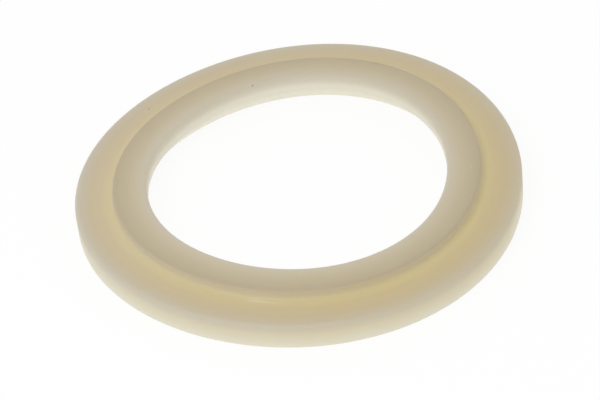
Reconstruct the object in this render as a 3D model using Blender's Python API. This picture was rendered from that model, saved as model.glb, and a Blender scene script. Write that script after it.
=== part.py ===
"""Ring gasket for a coffee machine, moulded in one piece from translucent silicone.

A raised boss surrounds the hole and a lower flange surrounds the boss. The hole's wall is plumb below the
lip and undercut lower down, so the hole widens towards the underside. The relaxed ring is slightly out of
round, in three soft lobes.

Units are metres and +Z is up. The ring lies flat: its underside is at Z = 0 and its axis is the Z axis.
"""

import math

import bmesh
import bpy

# Driving dimensions: widths run along the radius, and heights start at the underside or the flange
OUTER_DIAMETER = 0.072
FLANGE_WIDTH = 0.0063
BOSS_WIDTH = 0.0056
FLANGE_HEIGHT = 0.0043
STEP_HEIGHT = 0.0017
UNDERCUT_HEIGHT = 0.00325
HOLE_UNDERCUT = math.radians(39)

# Roundings of the section's corners, each kept within this share of the shorter side beside it
LIP_ROUNDING = 0.0009
KNEE_ROUNDING = 0.0015
BOSS_ROUNDING = 0.0006
STEP_FILLET = 0.0006
RIM_ROUNDING = 0.0008
FOOT_ROUNDING = 0.0003
LARGEST_SETBACK = 0.45

# Free shape of the relaxed ring
LOBES = 3
LOBE_AMPLITUDE = 0.00046
LOBE_DIRECTION = math.pi

# Facets
STEPS_AROUND = 96
STEPS_BROAD_ARC = 4
STEPS_NARROW_ARC = 2

# Finish
SILICONE_COLOUR = (0.55, 0.47, 0.31, 1.0)
SILICONE_ROUGHNESS = 0.45
CREASE_ANGLE = math.radians(30)


def clear_scene():
    """Remove every object of the open file."""
    for old in list(bpy.data.objects):
        bpy.data.objects.remove(old, do_unlink=True)


def rounded_corner(before, point, after, rounding, steps):
    """Points of the arc that rounds the corner at point, between its two neighbouring corners."""
    to_before = math.atan2(before[1] - point[1], before[0] - point[0])
    to_after = math.atan2(after[1] - point[1], after[0] - point[0])
    turn = (to_after - to_before + math.pi) % (2 * math.pi) - math.pi
    half = abs(turn) / 2
    setback = min(
        rounding / math.tan(half),
        LARGEST_SETBACK * math.dist(point, before),
        LARGEST_SETBACK * math.dist(point, after),
    )
    radius = setback * math.tan(half)
    reach = radius / math.sin(half)
    middle = to_before + turn / 2
    centre_x = point[0] + reach * math.cos(middle)
    centre_y = point[1] + reach * math.sin(middle)
    start_x = point[0] + setback * math.cos(to_before)
    start_y = point[1] + setback * math.sin(to_before)
    start = math.atan2(start_y - centre_y, start_x - centre_x)
    sweep = math.copysign(math.pi - 2 * half, -turn)
    arc = []
    for step in range(steps + 1):
        angle = start + sweep * step / steps
        arc.append((centre_x + radius * math.cos(angle), centre_y + radius * math.sin(angle)))
    return arc


def section():
    """Closed outline of the section as (radius, height) points, up the hole wall and down the outer wall."""
    outer_radius = OUTER_DIAMETER / 2
    step_radius = outer_radius - FLANGE_WIDTH
    hole_radius = step_radius - BOSS_WIDTH
    boss_height = FLANGE_HEIGHT + STEP_HEIGHT
    underside_radius = hole_radius + UNDERCUT_HEIGHT * math.tan(HOLE_UNDERCUT)
    corners = [
        ((underside_radius, 0.0), FOOT_ROUNDING, STEPS_NARROW_ARC),
        ((hole_radius, UNDERCUT_HEIGHT), KNEE_ROUNDING, STEPS_NARROW_ARC),
        ((hole_radius, boss_height), LIP_ROUNDING, STEPS_BROAD_ARC),
        ((step_radius, boss_height), BOSS_ROUNDING, STEPS_NARROW_ARC),
        ((step_radius, FLANGE_HEIGHT), STEP_FILLET, STEPS_NARROW_ARC),
        ((outer_radius, FLANGE_HEIGHT), RIM_ROUNDING, STEPS_BROAD_ARC),
        ((outer_radius, 0.0), FOOT_ROUNDING, STEPS_NARROW_ARC),
    ]
    outline = []
    for index, (point, rounding, steps) in enumerate(corners):
        before = corners[index - 1][0]
        after = corners[(index + 1) % len(corners)][0]
        outline += rounded_corner(before, point, after, rounding, steps)
    return outline


def out_of_round(angle):
    """How far the relaxed ring stands outside its true circle at this angle."""
    return LOBE_AMPLITUDE * math.cos(LOBES * (angle - LOBE_DIRECTION))


def ring_mesh(name, outline):
    """Carry the outline round the axis and join the copies into one closed skin."""
    shape = bmesh.new()
    loops = []
    for step in range(STEPS_AROUND):
        angle = 2 * math.pi * step / STEPS_AROUND
        offset = out_of_round(angle)
        loop = []
        for radius, height in outline:
            x = (radius + offset) * math.cos(angle)
            y = (radius + offset) * math.sin(angle)
            loop.append(shape.verts.new((x, y, height)))
        loops.append(loop)
    count = len(outline)
    for step, loop in enumerate(loops):
        following = loops[(step + 1) % STEPS_AROUND]
        for index in range(count):
            above = (index + 1) % count
            shape.faces.new((loop[index], loop[above], following[above], following[index]))
    bmesh.ops.recalc_face_normals(shape, faces=shape.faces)
    mesh = bpy.data.meshes.new(name)
    shape.to_mesh(mesh)
    shape.free()
    mesh.shade_smooth()
    mesh.set_sharp_from_angle(angle=CREASE_ANGLE)
    return mesh


def silicone():
    """Plain cream silicone."""
    material = bpy.data.materials.new("cream_silicone")
    material.use_nodes = True
    shader = material.node_tree.nodes["Principled BSDF"]
    shader.inputs["Base Color"].default_value = SILICONE_COLOUR
    shader.inputs["Roughness"].default_value = SILICONE_ROUGHNESS
    shader.inputs["Metallic"].default_value = 0.0
    return material


def build():
    """Make the gasket as one object."""
    clear_scene()
    mesh = ring_mesh("gasket_ring", section())
    mesh.materials.append(silicone())
    gasket = bpy.data.objects.new("gasket_ring", mesh)
    bpy.context.scene.collection.objects.link(gasket)


build()
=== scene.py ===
"""Looks of a coffee machine's ring gasket, moulded in one piece from cream translucent silicone.

The ring is a section carried round a slightly out-of-round circle by a geometry node tree. Its
colour follows the section, with light and shade painted into it: amber where the rubber is thick,
painted shade by the boss's step, a painted glow at the step's root, and painted pale where light
comes through the walls.
"""

import logging
import math
from dataclasses import dataclass
from enum import Enum

import bpy
from mathutils import Euler, Matrix, Vector


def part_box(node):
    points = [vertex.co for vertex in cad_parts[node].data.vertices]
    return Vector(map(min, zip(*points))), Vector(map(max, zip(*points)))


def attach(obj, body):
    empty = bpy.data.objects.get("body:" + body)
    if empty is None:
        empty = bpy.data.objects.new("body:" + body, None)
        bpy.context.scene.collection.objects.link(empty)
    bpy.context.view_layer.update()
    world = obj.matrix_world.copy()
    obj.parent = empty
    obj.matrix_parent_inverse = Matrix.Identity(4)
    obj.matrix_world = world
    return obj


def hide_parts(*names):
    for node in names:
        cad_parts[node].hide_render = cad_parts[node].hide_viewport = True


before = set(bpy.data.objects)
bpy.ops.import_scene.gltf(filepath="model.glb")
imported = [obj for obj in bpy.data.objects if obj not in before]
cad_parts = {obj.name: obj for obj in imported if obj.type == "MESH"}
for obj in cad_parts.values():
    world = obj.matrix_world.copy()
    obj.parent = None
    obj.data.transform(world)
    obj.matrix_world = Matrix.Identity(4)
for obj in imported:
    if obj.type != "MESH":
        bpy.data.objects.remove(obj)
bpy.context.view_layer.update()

LOG = logging.getLogger("gasket")
BODY = "root"
NODE = "gasket_ring"
SECTION_MAP = "section_map"
SKIN_CLEARANCE = 0.000015
MERGE_DISTANCE = 0.000002
WHITE = (1.0, 1.0, 1.0, 1.0)

# Curve between a colour as it is shown and as it is mixed
TOE_END = 0.04045
TOE_SLOPE = 12.92
CURVE_OFFSET = 0.055
CURVE_POWER = 2.4

Colour = tuple[float, float, float]
Place = tuple[float, float, float]


def linear(shown: Colour) -> tuple[float, float, float, float]:
    """Turn a colour as it is shown, in shares of 255, into a scene-linear one.

    Args:
        shown: Red, green and blue from 0 to 255.

    Returns:
        Linear red, green, blue and an alpha of 1.
    """
    parts = []
    for value in shown:
        share = value / 255
        if share <= TOE_END:
            parts.append(share / TOE_SLOPE)
        else:
            parts.append(((share + CURVE_OFFSET) / (1 + CURVE_OFFSET)) ** CURVE_POWER)
    return (parts[0], parts[1], parts[2], 1.0)


class NodeSheet:
    """Short calls that add nodes to one tree and link them."""

    def __init__(self, tree: bpy.types.NodeTree) -> None:
        """Work on an existing tree, which is emptied first."""
        self.tree = tree
        tree.nodes.clear()

    def add(self, kind: str, inputs: dict | None = None, **settings: object) -> bpy.types.Node:
        """Add a node.

        Args:
            kind: The node's type, such as ShaderNodeMath.
            inputs: Values or sockets by input name or number.
            settings: The node's own properties.

        Returns:
            The new node.
        """
        node = self.tree.nodes.new(kind)
        for name, value in settings.items():
            setattr(node, name, value)
        for key, value in (inputs or {}).items():
            self.feed(node.inputs[key], value)
        return node

    def feed(self, socket: bpy.types.NodeSocket, value: object) -> None:
        """Link a socket to the input, or set the input's own value.

        Args:
            socket: The input.
            value: The socket to link, or the value to set.
        """
        if isinstance(value, bpy.types.NodeSocket):
            self.tree.links.new(value, socket)
        else:
            socket.default_value = value

    def maths(self, operation: str, *values: object) -> bpy.types.NodeSocket:
        """Return the result of a Math node on one, two or three values or sockets."""
        node = self.add("ShaderNodeMath", dict(enumerate(values)), operation=operation)
        return node.outputs[0]

    def ranged(
        self,
        value: bpy.types.NodeSocket,
        low: float,
        high: float,
        first: float = 0.0,
        last: float = 1.0,
    ) -> bpy.types.NodeSocket:
        """Map a value's range onto another one and hold it within that.

        Args:
            value: The value to map.
            low: The value that gives first.
            high: The value that gives last.
            first: The result at low.
            last: The result at high.

        Returns:
            The mapped value's socket.
        """
        node = self.add("ShaderNodeMapRange", {0: value, 1: low, 2: high, 3: first, 4: last})
        return node.outputs[0]

    def ramp(
        self, place: bpy.types.NodeSocket, stops: list[tuple[float, object]]
    ) -> bpy.types.NodeSocket:
        """Read a value or colour off a straight-line ramp.

        Args:
            place: Where on the ramp to read, from 0 to 1.
            stops: Pairs of a place in rising order and a grey value or a linear colour with alpha.

        Returns:
            The ramp's colour socket.
        """
        node = self.add("ShaderNodeValToRGB", {"Fac": place})
        node.color_ramp.interpolation = "LINEAR"
        elements = node.color_ramp.elements
        while len(elements) < len(stops):
            elements.new(1.0)
        for element, (position, value) in zip(elements, stops):
            element.position = position
            element.color = (value, value, value, 1.0) if isinstance(value, float) else value
        return node.outputs["Color"]

    def blend(
        self, share: object, low: object, high: object, mode: str = "MIX"
    ) -> bpy.types.NodeSocket:
        """Mix two colours.

        Args:
            share: How much of the second colour shows.
            low: The first colour.
            high: The second colour.
            mode: The mix's blend type.

        Returns:
            The mixed colour's socket.
        """
        node = self.add("ShaderNodeMix", data_type="RGBA", blend_type=mode)
        self.feed(node.inputs["Factor"], share)
        self.feed(node.inputs["A"], low)
        self.feed(node.inputs["B"], high)
        return node.outputs["Result"]


class Corner(Enum):
    """Corners of the section, in the order in which its outline meets them."""

    HOLE_FOOT = 0
    KNEE = 1
    LIP = 2
    BOSS_SHOULDER = 3
    STEP_ROOT = 4
    RIM = 5
    OUTER_FOOT = 6


@dataclass(frozen=True)
class Section:
    """Shape of the ring's section, in metres.

    The outline runs from the foot of the hole wall up its undercut to the knee, plumb up to the
    lip, outwards over the boss, down the step, outwards over the flange, down the outer wall and
    back along the underside. The roundings are radii, and the undercut is measured from the plumb
    line.
    """

    outer_diameter: float
    height: float
    step_height: float = 0.0017
    flange_width: float = 0.0063
    boss_width: float = 0.0056
    undercut_height: float = 0.00325
    undercut: float = math.radians(39)
    knee_rounding: float = 0.0015
    lip_rounding: float = 0.0009
    boss_rounding: float = 0.0006
    step_fillet: float = 0.0006
    rim_rounding: float = 0.0008
    foot_rounding: float = 0.0003

    def corners(self) -> list[tuple[float, float]]:
        """List the corners before they are rounded.

        Returns:
            Each corner as (radius, height), in the order of Corner.
        """
        outer = self.outer_diameter / 2
        step = outer - self.flange_width
        hole = step - self.boss_width
        foot = hole + self.undercut_height * math.tan(self.undercut)
        flange = self.height - self.step_height
        return [
            (foot, 0),
            (hole, self.undercut_height),
            (hole, self.height),
            (step, self.height),
            (step, flange),
            (outer, flange),
            (outer, 0),
        ]

    def roundings(self) -> list[float]:
        """List the corners' roundings.

        Returns:
            Each corner's radius of rounding, in the order of Corner.
        """
        return [
            self.foot_rounding,
            self.knee_rounding,
            self.lip_rounding,
            self.boss_rounding,
            self.step_fillet,
            self.rim_rounding,
            self.foot_rounding,
        ]

    def setback(self, corner: Corner) -> float:
        """Measure how far from its corner a rounding starts.

        Args:
            corner: The corner that is rounded.

        Returns:
            The distance along either side.
        """
        corners = self.corners()
        at = Vector(corners[corner.value])
        before = Vector(corners[corner.value - 1]) - at
        after = Vector(corners[(corner.value + 1) % len(corners)]) - at
        return self.roundings()[corner.value] / math.tan(before.angle(after) / 2)

    def arc_length(self, corner: Corner) -> float:
        """Return the length of a corner's arc."""
        rounding = self.roundings()[corner.value]
        return rounding * (math.pi - 2 * math.atan(rounding / self.setback(corner)))

    def stations(self) -> dict[Corner, tuple[float, float]]:
        """Return where each corner's arc starts and ends, as shares of the outline's length."""
        spans, whole = self.spans()
        return {corner: (start / whole, end / whole) for corner, (start, end) in spans.items()}

    def spans(self) -> tuple[dict[Corner, tuple[float, float]], float]:
        """Walk along the outline from the start of the first corner's arc.

        Returns:
            Where each corner's arc starts and ends, and the outline's whole length.
        """
        corners = self.corners()
        spans = {}
        run = 0.0
        for corner in Corner:
            start = run
            run += self.arc_length(corner)
            spans[corner] = (start, run)
            following = Corner((corner.value + 1) % len(Corner))
            side = math.dist(corners[corner.value], corners[following.value])
            run += side - self.setback(corner) - self.setback(following)
        return spans, run


@dataclass(frozen=True)
class SiliconeTonesWithPaintedLight:
    """Colours along the section, each as it is shown in shares of 255, with light and shade painted
    in.

    They carry the silicone's cream and amber, and also painted light: walls painted pale where
    light comes through the rubber, painted shade by the boss's step, and a painted glow at the
    step's root.
    """

    underside: Colour = (205, 194, 168)
    # Painted light: the hole wall is painted palest at its foot and paler over the lip, where light
    # from the white floor comes through the rubber.
    hole_foot: Colour = (235, 229, 214)
    undercut: Colour = (231, 227, 204)
    hole_wall: Colour = (224, 219, 202)
    hole_top: Colour = (208, 202, 182)
    lip: Colour = (199, 192, 172)
    lip_edge: Colour = (197, 188, 167)
    boss_inner: Colour = (196, 185, 158)
    # Painted shade: the boss darkens towards its outer edge and is darkest at the top of the
    # shoulder, by the step.
    boss_middle: Colour = (189, 177, 148)
    boss_outer: Colour = (183, 170, 142)
    shoulder_top: Colour = (178, 165, 137)
    # Painted light: the shoulder, step wall and root are painted bright against the shade in the
    # step's corner; glow is a painted glow of light through the rubber beside the root.
    shoulder: Colour = (204, 194, 168)
    step_wall: Colour = (210, 200, 171)
    root_middle: Colour = (207, 194, 156)
    step_root: Colour = (211, 198, 155)
    glow: Colour = (208, 193, 153)
    flange_inner: Colour = (201, 186, 148)
    flange: Colour = (196, 181, 148)
    # Painted light: the flange's outer edge, the rim and the outer wall are painted paler towards
    # the foot, where light comes through the rubber.
    flange_outer: Colour = (194, 184, 161)
    rim: Colour = (197, 189, 170)
    outer_wall: Colour = (213, 204, 177)
    outer_foot: Colour = (223, 219, 198)


@dataclass(frozen=True)
class PaintedSideLight:
    """Painted light round the ring, over the step, flange and outer wall: one side is painted paler
    and the other darker and more amber, as light falls through the rubber from one side.
    """

    toward: float = math.radians(-40)
    ring_radius: float = 0.033
    pale: Colour = (1.005, 1.02, 1.09)
    amber: Colour = (0.99, 0.975, 0.90)
    flange_share: float = 0.8

    def tinted(
        self,
        sheet: NodeSheet,
        painted: bpy.types.NodeSocket,
        place: bpy.types.NodeSocket,
        across: bpy.types.NodeSocket,
        section: Section,
    ) -> bpy.types.NodeSocket:
        """Paint the side light over the colour.

        Args:
            sheet: The tree that the nodes go into.
            painted: The colour before the tint.
            place: Object coordinates.
            across: The share of the outline's length.
            section: The shape that the tint follows.

        Returns:
            The tinted colour's socket.
        """
        at = section.stations()
        reach = 1 / self.ring_radius
        heading = (math.cos(self.toward) * reach, math.sin(self.toward) * reach, 0.0)
        facing = sheet.add("ShaderNodeVectorMath", {0: place, 1: heading}, operation="DOT_PRODUCT")
        side = sheet.ranged(facing.outputs["Value"], -1.0, 1.0)
        tint = sheet.blend(side, (*self.pale, 1.0), (*self.amber, 1.0))
        band = sheet.ramp(
            across,
            [
                (at[Corner.BOSS_SHOULDER][0], 0.0),
                (at[Corner.STEP_ROOT][0], 1.0),
                (at[Corner.STEP_ROOT][1], 1.0),
                (at[Corner.RIM][0], self.flange_share),
                (at[Corner.OUTER_FOOT][0], 0.0),
            ],
        )
        return sheet.blend(band, painted, tint, "MULTIPLY")


class MarkTone(Enum):
    """Kinds of small mark, each with its colour as it is shown; the pale one also gives a painted
    highlight.
    """

    DARK = (138, 126, 106)
    PALE = (232, 224, 202)


@dataclass(frozen=True)
class Mark:
    """One small speck or nick in the rubber, or a faint pale line that is a painted highlight.

    The turn and the spread are degrees round the ring, the share is the place along the section's
    outline, and the width is in metres. The mark is strongest over its core and fades from there to
    its edge.
    """

    turn: float
    share: float
    spread: float
    width: float
    tone: MarkTone
    strength: float
    core: float = 0.3

    def laid(
        self,
        sheet: NodeSheet,
        painted: bpy.types.NodeSocket,
        along: bpy.types.NodeSocket,
        whole: float,
    ) -> bpy.types.NodeSocket:
        """Lay the mark over a colour.

        Args:
            sheet: The tree that the nodes go into.
            painted: The colour under the mark.
            along: The ring's UV map.
            whole: The outline's whole length in metres.

        Returns:
            The marked colour's socket.
        """
        centred = sheet.add(
            "ShaderNodeMapping",
            {
                "Vector": along,
                "Location": (self.turn / 360, self.share, 0.0),
                "Scale": (self.spread / 360, self.width / 2 / whole, 1.0),
            },
            vector_type="TEXTURE",
        ).outputs[0]
        away = sheet.add("ShaderNodeVectorMath", {0: centred}, operation="LENGTH").outputs["Value"]
        shown = sheet.ranged(away, self.core, 1.0, self.strength, 0.0)
        return sheet.blend(shown, painted, linear(self.tone.value))


MARKS = (
    Mark(turn=104.45, share=0.2168, spread=0.5, width=0.0005, tone=MarkTone.DARK, strength=0.8),
    Mark(turn=136.5, share=0.5112, spread=0.45, width=0.0006, tone=MarkTone.DARK, strength=0.5),
    Mark(turn=21.4, share=0.1975, spread=0.5, width=0.0005, tone=MarkTone.PALE, strength=0.45),
    Mark(turn=22.3, share=0.186, spread=0.8, width=0.0008, tone=MarkTone.DARK, strength=0.22),
    Mark(turn=350.2, share=0.3211, spread=0.5, width=0.0004, tone=MarkTone.PALE, strength=0.25),
    Mark(turn=59.5, share=0.3547, spread=2.0, width=0.0005, tone=MarkTone.DARK, strength=0.3),
    # Painted highlight: a thin pale line with a softer, wider part, where the lamp glints on the
    # fillet at the step's root on the near side.
    Mark(turn=252.6, share=0.4305, spread=3.8, width=0.0011, tone=MarkTone.PALE, strength=0.18),
    Mark(turn=255.8, share=0.4358, spread=6.0, width=0.0006, tone=MarkTone.PALE, strength=0.24),
)


@dataclass(frozen=True)
class Mottle:
    """A noise over the rubber: the size of its patches in metres, and its finer detail."""

    size: float
    detail: float
    roughness: float

    def laid(self, sheet: NodeSheet, place: bpy.types.NodeSocket) -> bpy.types.NodeSocket:
        """Lay the noise over the ring.

        Args:
            sheet: The tree that the nodes go into.
            place: Object coordinates.

        Returns:
            The noise's socket, with values about 0.5.
        """
        inputs = {
            "Vector": place,
            "Scale": 1 / self.size,
            "Detail": self.detail,
            "Roughness": self.roughness,
        }
        return sheet.add("ShaderNodeTexNoise", inputs).outputs[0]


@dataclass(frozen=True)
class SiliconeFinish:
    """Matt translucent silicone, painted along the section with light and shade in it, given a
    painted side light, clouded a little, and marked with specks and a painted highlight.
    """

    tones: SiliconeTonesWithPaintedLight = SiliconeTonesWithPaintedLight()
    painted_side_light: PaintedSideLight = PaintedSideLight()
    marks: tuple[Mark, ...] = MARKS
    specular: float = 0.40
    scatter_share: float = 0.20
    scatter_depth: float = 0.0012
    scatter_reach: Colour = (1.0, 0.62, 0.34)
    clouds: Mottle = Mottle(size=0.011, detail=2.0, roughness=0.45)
    cloud_span: tuple[float, float] = (0.35, 0.65)
    cloud_share: float = 0.35
    cloud_tint: Colour = (1.0, 0.965, 0.93)
    polish: Mottle = Mottle(size=1 / 420, detail=3.0, roughness=0.5)
    polish_span: tuple[float, float] = (0.3, 0.7)
    roughness_span: tuple[float, float] = (0.40, 0.56)
    grain: Mottle = Mottle(size=0.00028, detail=2.0, roughness=0.6)
    grain_depth: float = 0.000012

    def ramp_stops(self, section: Section) -> list[tuple[float, Colour]]:
        """Place the tones along the section.

        Args:
            section: The shape that the tones follow.

        Returns:
            Pairs of a share of the outline's length and a shown colour, in rising order.
        """
        at = section.stations()
        tones = self.tones
        wall_foot = at[Corner.HOLE_FOOT][1]
        knee_start, knee_end = at[Corner.KNEE]
        hole_top, boss_start = at[Corner.LIP]
        boss_end, shoulder_end = at[Corner.BOSS_SHOULDER]
        root_start, root_end = at[Corner.STEP_ROOT]
        flange_end = at[Corner.RIM][0]
        wall_start = at[Corner.RIM][1]
        wall_end = at[Corner.OUTER_FOOT][0]

        def between(start: float, end: float, share: float) -> float:
            """Return the place at this share of the way from start to end."""
            return start + (end - start) * share

        # These stops paint light and shade into the section: pale walls, painted shade by the step
        # and a painted glow at the step's root.
        return [
            (0.0, tones.hole_foot),
            (between(wall_foot, knee_start, 0.6), tones.undercut),
            (between(knee_end, hole_top, 0.3), tones.hole_wall),
            (hole_top, tones.hole_top),
            (between(hole_top, boss_start, 0.5), tones.lip),
            (boss_start, tones.lip_edge),
            (between(boss_start, boss_end, 0.2), tones.boss_inner),
            (between(boss_start, boss_end, 0.55), tones.boss_middle),
            (between(boss_start, boss_end, 0.92), tones.boss_outer),
            (between(boss_end, shoulder_end, 0.45), tones.shoulder_top),
            (shoulder_end, tones.shoulder),
            (root_start, tones.step_wall),
            (between(root_start, root_end, 0.5), tones.root_middle),
            (root_end, tones.step_root),
            (between(root_end, flange_end, 0.12), tones.glow),
            (between(root_end, flange_end, 0.3), tones.flange_inner),
            (between(root_end, flange_end, 0.65), tones.flange),
            (flange_end, tones.flange_outer),
            (between(flange_end, wall_start, 0.6), tones.rim),
            (between(wall_start, wall_end, 0.3), tones.outer_wall),
            (wall_end, tones.outer_foot),
            (between(at[Corner.OUTER_FOOT][1], 1.0, 0.15), tones.underside),
            (between(at[Corner.OUTER_FOOT][1], 1.0, 0.85), tones.underside),
            (1.0, tones.hole_foot),
        ]

    def material(self, section: Section) -> bpy.types.Material:
        """Build the node material.

        Args:
            section: The shape whose outline the colours follow.

        Returns:
            The silicone material.
        """
        made = bpy.data.materials.new("cream_silicone")
        made.use_nodes = True
        sheet = NodeSheet(made.node_tree)
        place = sheet.add("ShaderNodeTexCoord").outputs["Object"]
        along = sheet.add("ShaderNodeUVMap", uv_map=SECTION_MAP).outputs["UV"]
        across = sheet.add("ShaderNodeSeparateXYZ", {0: along}).outputs["Y"]
        stops = [(share, linear(shown)) for share, shown in self.ramp_stops(section)]
        clouded = self.clouded(sheet, sheet.ramp(across, stops), place)
        # Painted side light: one side of the ring painted paler, the other darker and more amber.
        colour = self.painted_side_light.tinted(sheet, clouded, place, across, section)
        whole = section.spans()[1]
        # Specks and nicks in the rubber, and a painted highlight along the step's root.
        for mark in self.marks:
            colour = mark.laid(sheet, colour, along, whole)
        polish = self.polish.laid(sheet, place)
        bump = sheet.add(
            "ShaderNodeBump",
            {"Height": self.grain.laid(sheet, place), "Distance": self.grain_depth},
        )
        shader = sheet.add(
            "ShaderNodeBsdfPrincipled",
            {
                "Base Color": colour,
                "Specular IOR Level": self.specular,
                "Subsurface Weight": self.scatter_share,
                "Subsurface Radius": self.scatter_reach,
                "Subsurface Scale": self.scatter_depth,
                "Roughness": sheet.ranged(polish, *self.polish_span, *self.roughness_span),
                "Normal": bump.outputs[0],
            },
        )
        sheet.add("ShaderNodeOutputMaterial", {"Surface": shader.outputs[0]})
        return made

    def clouded(
        self, sheet: NodeSheet, painted: bpy.types.NodeSocket, place: bpy.types.NodeSocket
    ) -> bpy.types.NodeSocket:
        """Warm the painted colour in soft, broad clouds.

        Args:
            sheet: The tree that the nodes go into.
            painted: The colour that follows the section.
            place: Object coordinates.

        Returns:
            The clouded colour's socket.
        """
        noise = self.clouds.laid(sheet, place)
        share = sheet.ranged(noise, *self.cloud_span, 0.0, self.cloud_share)
        warmed = sheet.blend(1.0, painted, (*self.cloud_tint, 1.0), "MULTIPLY")
        return sheet.blend(share, painted, warmed)


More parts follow.
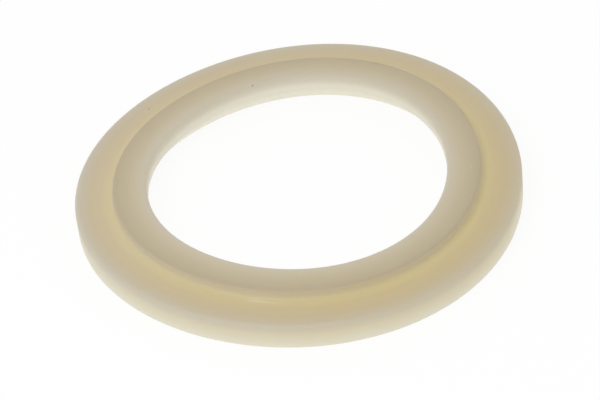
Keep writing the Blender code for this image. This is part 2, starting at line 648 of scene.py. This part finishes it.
@dataclass
class GasketRing:
    """The moulded ring: its section, and the slightly three-lobed circle that it follows."""

    section: Section
    lobe_amplitude: float
    finish: SiliconeFinish
    lobes: int = 3
    lobe_direction: float = math.pi
    steps_around: int = 600
    steps_per_corner: int = 8
    facet_length: float = 0.0007

    def tree_inputs(self) -> dict[str, float | int]:
        """List the node tree's inputs.

        Returns:
            Each input's value by its name.
        """
        section = self.section
        return {
            "Outer Diameter": section.outer_diameter,
            "Height": section.height,
            "Step Height": section.step_height,
            "Flange Width": section.flange_width,
            "Boss Width": section.boss_width,
            "Undercut Height": section.undercut_height,
            "Undercut": section.undercut,
            "Knee Rounding": section.knee_rounding,
            "Lip Rounding": section.lip_rounding,
            "Boss Rounding": section.boss_rounding,
            "Step Fillet": section.step_fillet,
            "Rim Rounding": section.rim_rounding,
            "Foot Rounding": section.foot_rounding,
            "Lobe Amplitude": self.lobe_amplitude,
            "Lobes": self.lobes,
            "Lobe Direction": self.lobe_direction,
            "Steps Around": self.steps_around,
            "Steps Per Corner": self.steps_per_corner,
            "Facet Length": self.facet_length,
        }

    def outline_curve(
        self, sheet: NodeSheet, size: dict[str, bpy.types.NodeSocket]
    ) -> bpy.types.NodeSocket:
        """Draw the rounded section as a closed curve in the XY plane, with the radius along X.

        Args:
            sheet: The tree that the nodes go into.
            size: The tree's inputs by name.

        Returns:
            The curve's geometry socket.
        """
        outer = sheet.maths("DIVIDE", size["Outer Diameter"], 2.0)
        step = sheet.maths("SUBTRACT", outer, size["Flange Width"])
        hole = sheet.maths("SUBTRACT", step, size["Boss Width"])
        lean = sheet.maths("TANGENT", size["Undercut"])
        foot = sheet.maths("MULTIPLY_ADD", size["Undercut Height"], lean, hole)
        flange = sheet.maths("SUBTRACT", size["Height"], size["Step Height"])
        corners = [
            (foot, 0.0, "Foot Rounding"),
            (hole, size["Undercut Height"], "Knee Rounding"),
            (hole, size["Height"], "Lip Rounding"),
            (step, size["Height"], "Boss Rounding"),
            (step, flange, "Step Fillet"),
            (outer, flange, "Rim Rounding"),
            (outer, 0.0, "Foot Rounding"),
        ]
        index = sheet.add("GeometryNodeInputIndex").outputs[0]
        corner_at = sheet.add("GeometryNodeIndexSwitch", {"Index": index}, data_type="VECTOR")
        rounding_at = sheet.add("GeometryNodeIndexSwitch", {"Index": index}, data_type="FLOAT")
        for switch in (corner_at, rounding_at):
            while len(switch.index_switch_items) < len(Corner):
                switch.index_switch_items.new()
        for number, (x, y, rounding) in enumerate(corners, start=1):
            point = sheet.add("ShaderNodeCombineXYZ", {"X": x, "Y": y})
            sheet.feed(corner_at.inputs[number], point.outputs[0])
            sheet.feed(rounding_at.inputs[number], size[rounding])
        chain = sheet.add("GeometryNodeMeshLine", {"Count": len(Corner)})
        shaped = sheet.add(
            "GeometryNodeSetPosition",
            {"Geometry": chain.outputs[0], "Position": corner_at.outputs[0]},
        )
        drawn = sheet.add("GeometryNodeMeshToCurve", {"Mesh": shaped.outputs[0]})
        closed = sheet.add(
            "GeometryNodeSetSplineCyclic", {"Geometry": drawn.outputs[0], "Cyclic": True}
        )
        rounded = sheet.add(
            "GeometryNodeFilletCurve",
            {
                "Curve": closed.outputs[0],
                "Count": size["Steps Per Corner"],
                "Radius": rounding_at.outputs[0],
            },
            mode="POLY",
        )
        return self.divided(sheet, rounded.outputs[0], size["Facet Length"])

    def divided(
        self, sheet: NodeSheet, curve: bpy.types.NodeSocket, facet: bpy.types.NodeSocket
    ) -> bpy.types.NodeSocket:
        """Cut the outline's straight runs into facets of about the same length.

        Args:
            sheet: The tree that the nodes go into.
            curve: The outline.
            facet: The longest facet's length.

        Returns:
            The divided outline's geometry socket.
        """
        size = sheet.add("GeometryNodeAttributeDomainSize", {0: curve}, component="CURVE")
        count = size.outputs["Point Count"]
        index = sheet.add("GeometryNodeInputIndex").outputs[0]
        following = sheet.maths("MODULO", sheet.maths("ADD", index, 1.0), count)
        here = sheet.add("GeometryNodeInputPosition").outputs[0]
        there = sheet.add(
            "GeometryNodeFieldAtIndex",
            {"Index": following, "Value": here},
            data_type="FLOAT_VECTOR",
            domain="POINT",
        )
        ends = {0: here, 1: there.outputs[0]}
        gap = sheet.add("ShaderNodeVectorMath", ends, operation="DISTANCE")
        cuts = sheet.maths("FLOOR", sheet.maths("DIVIDE", gap.outputs["Value"], facet))
        return sheet.add("GeometryNodeSubdivideCurve", {"Curve": curve, "Cuts": cuts}).outputs[0]

    def sweep_tree(self, material: bpy.types.Material) -> bpy.types.NodeTree:
        """Build the tree that carries the outline round the ring.

        Args:
            material: The finish that the tree sets on the ring.

        Returns:
            The geometry node tree, with one named input for each size.
        """
        tree = bpy.data.node_groups.new("ring_sweep", "GeometryNodeTree")
        sheet = NodeSheet(tree)
        for name, value in self.tree_inputs().items():
            kind = "NodeSocketInt" if isinstance(value, int) else "NodeSocketFloat"
            tree.interface.new_socket(name, in_out="INPUT", socket_type=kind)
        tree.interface.new_socket("Geometry", in_out="OUTPUT", socket_type="NodeSocketGeometry")
        size = dict(sheet.add("NodeGroupInput").outputs.items())
        outline = self.outline_curve(sheet, size)
        domain = sheet.add("GeometryNodeAttributeDomainSize", {0: outline}, component="CURVE")
        count = domain.outputs["Point Count"]
        grid = sheet.add(
            "GeometryNodeMeshGrid",
            {
                "Size X": 1.0,
                "Size Y": 1.0,
                "Vertices X": sheet.maths("ADD", size["Steps Around"], 1.0),
                "Vertices Y": sheet.maths("ADD", count, 1.0),
            },
        )
        mapped = self.mapped(sheet, grid, outline, count)
        placed = self.placed(sheet, mapped, outline, count, size)
        joined = sheet.add(
            "GeometryNodeMergeByDistance", {"Geometry": placed, "Distance": MERGE_DISTANCE}
        )
        smooth = sheet.add("GeometryNodeSetShadeSmooth", {"Geometry": joined.outputs[0]})
        real = sheet.add("GeometryNodeRealizeInstances", {0: smooth.outputs[0]})
        dressed = sheet.add(
            "GeometryNodeSetMaterial", {"Geometry": real.outputs[0], "Material": material}
        )
        sheet.add("NodeGroupOutput", {0: dressed.outputs[0]})
        return tree

    def sampled(
        self,
        sheet: NodeSheet,
        outline: bpy.types.NodeSocket,
        value: bpy.types.NodeSocket,
        row: bpy.types.NodeSocket,
        kind: str,
    ) -> bpy.types.NodeSocket:
        """Read a value of the outline at a row of the grid.

        Args:
            sheet: The tree that the nodes go into.
            outline: The outline's points.
            value: The value to read.
            row: The number of the outline's point.
            kind: The value's data type.

        Returns:
            The value's socket.
        """
        sample = sheet.add(
            "GeometryNodeSampleIndex", {"Geometry": outline}, data_type=kind, domain="POINT"
        )
        sheet.feed(sample.inputs["Value"], value)
        sheet.feed(sample.inputs["Index"], row)
        return sample.outputs[0]

    def mapped(
        self,
        sheet: NodeSheet,
        grid: bpy.types.Node,
        outline: bpy.types.NodeSocket,
        count: bpy.types.NodeSocket,
    ) -> bpy.types.NodeSocket:
        """Give the grid a UV map: the turn round the ring, and the share of the outline's length.

        Args:
            sheet: The tree that the nodes go into.
            grid: The grid's node.
            outline: The outline's points.
            count: The number of the outline's points.

        Returns:
            The mapped grid's geometry socket.
        """
        own = sheet.add("ShaderNodeSeparateXYZ", {0: grid.outputs["UV Map"]})
        row = sheet.maths("ROUND", sheet.maths("MULTIPLY", own.outputs["Y"], count))
        factor = sheet.add("GeometryNodeSplineParameter").outputs["Factor"]
        share = self.sampled(sheet, outline, factor, sheet.maths("MODULO", row, count), "FLOAT")
        last = sheet.maths("GREATER_THAN", row, sheet.maths("SUBTRACT", count, 0.5))
        height = sheet.maths("MAXIMUM", share, last)
        spot = sheet.add("ShaderNodeCombineXYZ", {"X": own.outputs["X"], "Y": height})
        stored = sheet.add(
            "GeometryNodeStoreNamedAttribute",
            {"Geometry": grid.outputs["Mesh"], "Name": SECTION_MAP},
            data_type="FLOAT2",
            domain="CORNER",
        )
        sheet.feed(stored.inputs["Value"], spot.outputs[0])
        return stored.outputs[0]

    def placed(
        self,
        sheet: NodeSheet,
        grid: bpy.types.NodeSocket,
        outline: bpy.types.NodeSocket,
        count: bpy.types.NodeSocket,
        size: dict[str, bpy.types.NodeSocket],
    ) -> bpy.types.NodeSocket:
        """Move each point of the grid to its place on the ring.

        The grid is 1 across and centred, so half is added to its coordinates.

        Args:
            sheet: The tree that the nodes go into.
            grid: The mapped grid.
            outline: The outline's points.
            count: The number of the outline's points.
            size: The tree's inputs by name.

        Returns:
            The ring's geometry socket.
        """
        position = sheet.add("GeometryNodeInputPosition").outputs[0]
        flat = sheet.add("ShaderNodeSeparateXYZ", {0: position})
        turn = sheet.maths("MULTIPLY", sheet.maths("ADD", flat.outputs["X"], 0.5), 2 * math.pi)
        across = sheet.maths("MULTIPLY", sheet.maths("ADD", flat.outputs["Y"], 0.5), count)
        row = sheet.maths("MODULO", sheet.maths("ROUND", across), count)
        point = self.sampled(sheet, outline, position, row, "FLOAT_VECTOR")
        of_section = sheet.add("ShaderNodeSeparateXYZ", {0: point})
        from_lobe = sheet.maths("SUBTRACT", turn, size["Lobe Direction"])
        wave = sheet.maths("COSINE", sheet.maths("MULTIPLY", from_lobe, size["Lobes"]))
        lobe = sheet.maths("MULTIPLY", wave, size["Lobe Amplitude"])
        radius = sheet.maths("ADD", of_section.outputs["X"], lobe)
        spot = sheet.add(
            "ShaderNodeCombineXYZ",
            {
                "X": sheet.maths("MULTIPLY", radius, sheet.maths("COSINE", turn)),
                "Y": sheet.maths("MULTIPLY", radius, sheet.maths("SINE", turn)),
                "Z": of_section.outputs["Y"],
            },
        )
        moved = sheet.add(
            "GeometryNodeSetPosition", {"Geometry": grid, "Position": spot.outputs[0]}
        )
        return sheet.add("GeometryNodeFlipFaces", {"Mesh": moved.outputs[0]}).outputs[0]

    def build(self) -> bpy.types.Object:
        """Make the ring as a plain mesh object at the origin.

        Returns:
            The ring, with its finish on it.
        """
        carrier = bpy.data.objects.new("ring_carrier", bpy.data.meshes.new("ring_carrier"))
        bpy.context.scene.collection.objects.link(carrier)
        modifier = carrier.modifiers.new("ring_sweep", "NODES")
        material = self.finish.material(self.section)
        modifier.node_group = self.sweep_tree(material)
        values = self.tree_inputs()
        for item in modifier.node_group.interface.items_tree:
            if item.in_out == "INPUT":
                modifier[item.identifier] = values[item.name]
        carrier.update_tag()
        bpy.context.view_layer.update()
        evaluated = carrier.evaluated_get(bpy.context.evaluated_depsgraph_get())
        mesh = bpy.data.meshes.new_from_object(evaluated)
        mesh.name = "silicone_ring"
        carrier.modifiers.remove(modifier)
        bpy.data.objects.remove(carrier)
        ring = bpy.data.objects.new("silicone_ring", mesh)
        bpy.context.scene.collection.objects.link(ring)
        return ring

    def dress(self, ring: bpy.types.Object) -> None:
        """Tie the ring to the frame: it stands for the solid ring, which is hidden.

        Args:
            ring: The ring that build made.
        """
        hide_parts(NODE)
        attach(ring, BODY)


@dataclass(frozen=True)
class StudioStage:
    """A pale floor and even white surroundings, with the object's soft shadow kept."""

    floor_size: float = 3.0
    floor_gap: float = 0.00005
    floor_shown: float = 0.98
    glow_share: float = 0.86
    light_level: float = 0.86

    def seen_directly(self, sheet: NodeSheet) -> bpy.types.NodeSocket:
        """Tell the rays from the camera, and those mirrored or let through, from the rest.

        Args:
            sheet: The tree that the nodes go into.

        Returns:
            A socket that is 1 on those rays and 0 on the rest.
        """
        rays = sheet.add("ShaderNodeLightPath").outputs
        mirrored = sheet.maths("MAXIMUM", rays["Is Glossy Ray"], rays["Is Transmission Ray"])
        return sheet.maths("MAXIMUM", rays["Is Camera Ray"], mirrored)

    def floor_material(self) -> bpy.types.Material:
        """Make a pale floor that reads as white where no shadow falls.

        Returns:
            The floor's material.
        """
        made = bpy.data.materials.new("pale_floor")
        made.use_nodes = True
        sheet = NodeSheet(made.node_tree)
        shade = (self.floor_shown, self.floor_shown, self.floor_shown, 1.0)
        matt = sheet.add("ShaderNodeBsdfDiffuse", {"Color": shade})
        glow = sheet.add("ShaderNodeEmission", {"Color": WHITE, "Strength": 1.0})
        mixed = sheet.add(
            "ShaderNodeMixShader", {0: self.glow_share, 1: matt.outputs[0], 2: glow.outputs[0]}
        )
        sheet.add("ShaderNodeOutputMaterial", {"Surface": mixed.outputs[0]})
        return made

    def build(self) -> bpy.types.Object:
        """Lay the floor just under the ring and light the world round it.

        Returns:
            The floor.
        """
        half = self.floor_size / 2
        corners = [(-half, -half), (half, -half), (half, half), (-half, half)]
        mesh = bpy.data.meshes.new("floor")
        mesh.from_pydata([(x, y, -self.floor_gap) for x, y in corners], [], [(0, 1, 2, 3)])
        mesh.materials.append(self.floor_material())
        floor = bpy.data.objects.new("floor", mesh)
        bpy.context.scene.collection.objects.link(floor)
        world = bpy.data.worlds.new("white_surroundings")
        world.use_nodes = True
        sheet = NodeSheet(world.node_tree)
        level = sheet.maths("MAXIMUM", self.seen_directly(sheet), self.light_level)
        background = sheet.add("ShaderNodeBackground", {"Color": WHITE, "Strength": level})
        sheet.add("ShaderNodeOutputWorld", {"Surface": background.outputs[0]})
        bpy.context.scene.world = world
        return floor


@dataclass(frozen=True)
class SoftLamp:
    """One square soft lamp, aimed at the ring."""

    name: str
    place: Place
    side: float
    power: float

    def build(self) -> bpy.types.Object:
        """Hang the lamp and turn it to face the origin.

        Returns:
            The lamp.
        """
        data = bpy.data.lights.new(self.name, "AREA")
        data.shape = "SQUARE"
        data.size = self.side
        data.energy = self.power
        lamp = bpy.data.objects.new(self.name, data)
        lamp.location = self.place
        lamp.rotation_euler = (-Vector(self.place)).to_track_quat("-Z", "Y").to_euler()
        bpy.context.scene.collection.objects.link(lamp)
        return lamp


KEY_LAMP = SoftLamp(name="key_lamp", place=(-0.106, -0.151, 0.236), side=0.16, power=0.151)


@dataclass(frozen=True)
class PhotoCamera:
    """The camera at the photograph's viewing angle, for a picture of 600 by 400."""

    distance: float = 0.432
    elevation: float = math.radians(39.361)
    roll: float = math.radians(-6.722)
    aim_right: float = -0.000428
    aim_up: float = -0.000426
    lens_mm: float = 160.52
    sensor_mm: float = 36.0

    def build(self) -> bpy.types.Object:
        """Place the camera and make it the scene's.

        Returns:
            The camera.
        """
        data = bpy.data.cameras.new("photo_camera")
        data.sensor_width = self.sensor_mm
        data.lens = self.lens_mm
        camera = bpy.data.objects.new("photo_camera", data)
        back = Vector((0.0, -math.cos(self.elevation), math.sin(self.elevation)))
        right = Vector((1.0, 0.0, 0.0))
        up = back.cross(right)
        aim = right * self.aim_right + up * self.aim_up
        turned = Matrix((right, up, back)).transposed() @ Euler((0.0, 0.0, self.roll)).to_matrix()
        camera.matrix_world = Matrix.Translation(aim + back * self.distance) @ turned.to_4x4()
        bpy.context.scene.collection.objects.link(camera)
        bpy.context.scene.camera = camera
        return camera


def main() -> None:
    """Build the ring, the stage, the lamp and the camera, and report each."""
    logging.basicConfig(level=logging.INFO, format="%(name)s: %(message)s")
    bpy.context.scene.view_settings.view_transform = "Standard"
    low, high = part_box(NODE)
    gasket = GasketRing(
        section=Section(outer_diameter=high.x - low.x - 2 * SKIN_CLEARANCE, height=high.z),
        lobe_amplitude=-(low.x + high.x) / 2,
        finish=SiliconeFinish(),
    )
    ring = gasket.build()
    gasket.dress(ring)
    triangles = sum(len(polygon.vertices) - 2 for polygon in ring.data.polygons)
    LOG.info("%s: %d triangles", ring.name, triangles)
    LOG.info("%s laid", StudioStage().build().name)
    LOG.info("%s hung", KEY_LAMP.build().name)
    LOG.info("%s set", PhotoCamera().build().name)


if __name__ == "__main__":
    main()
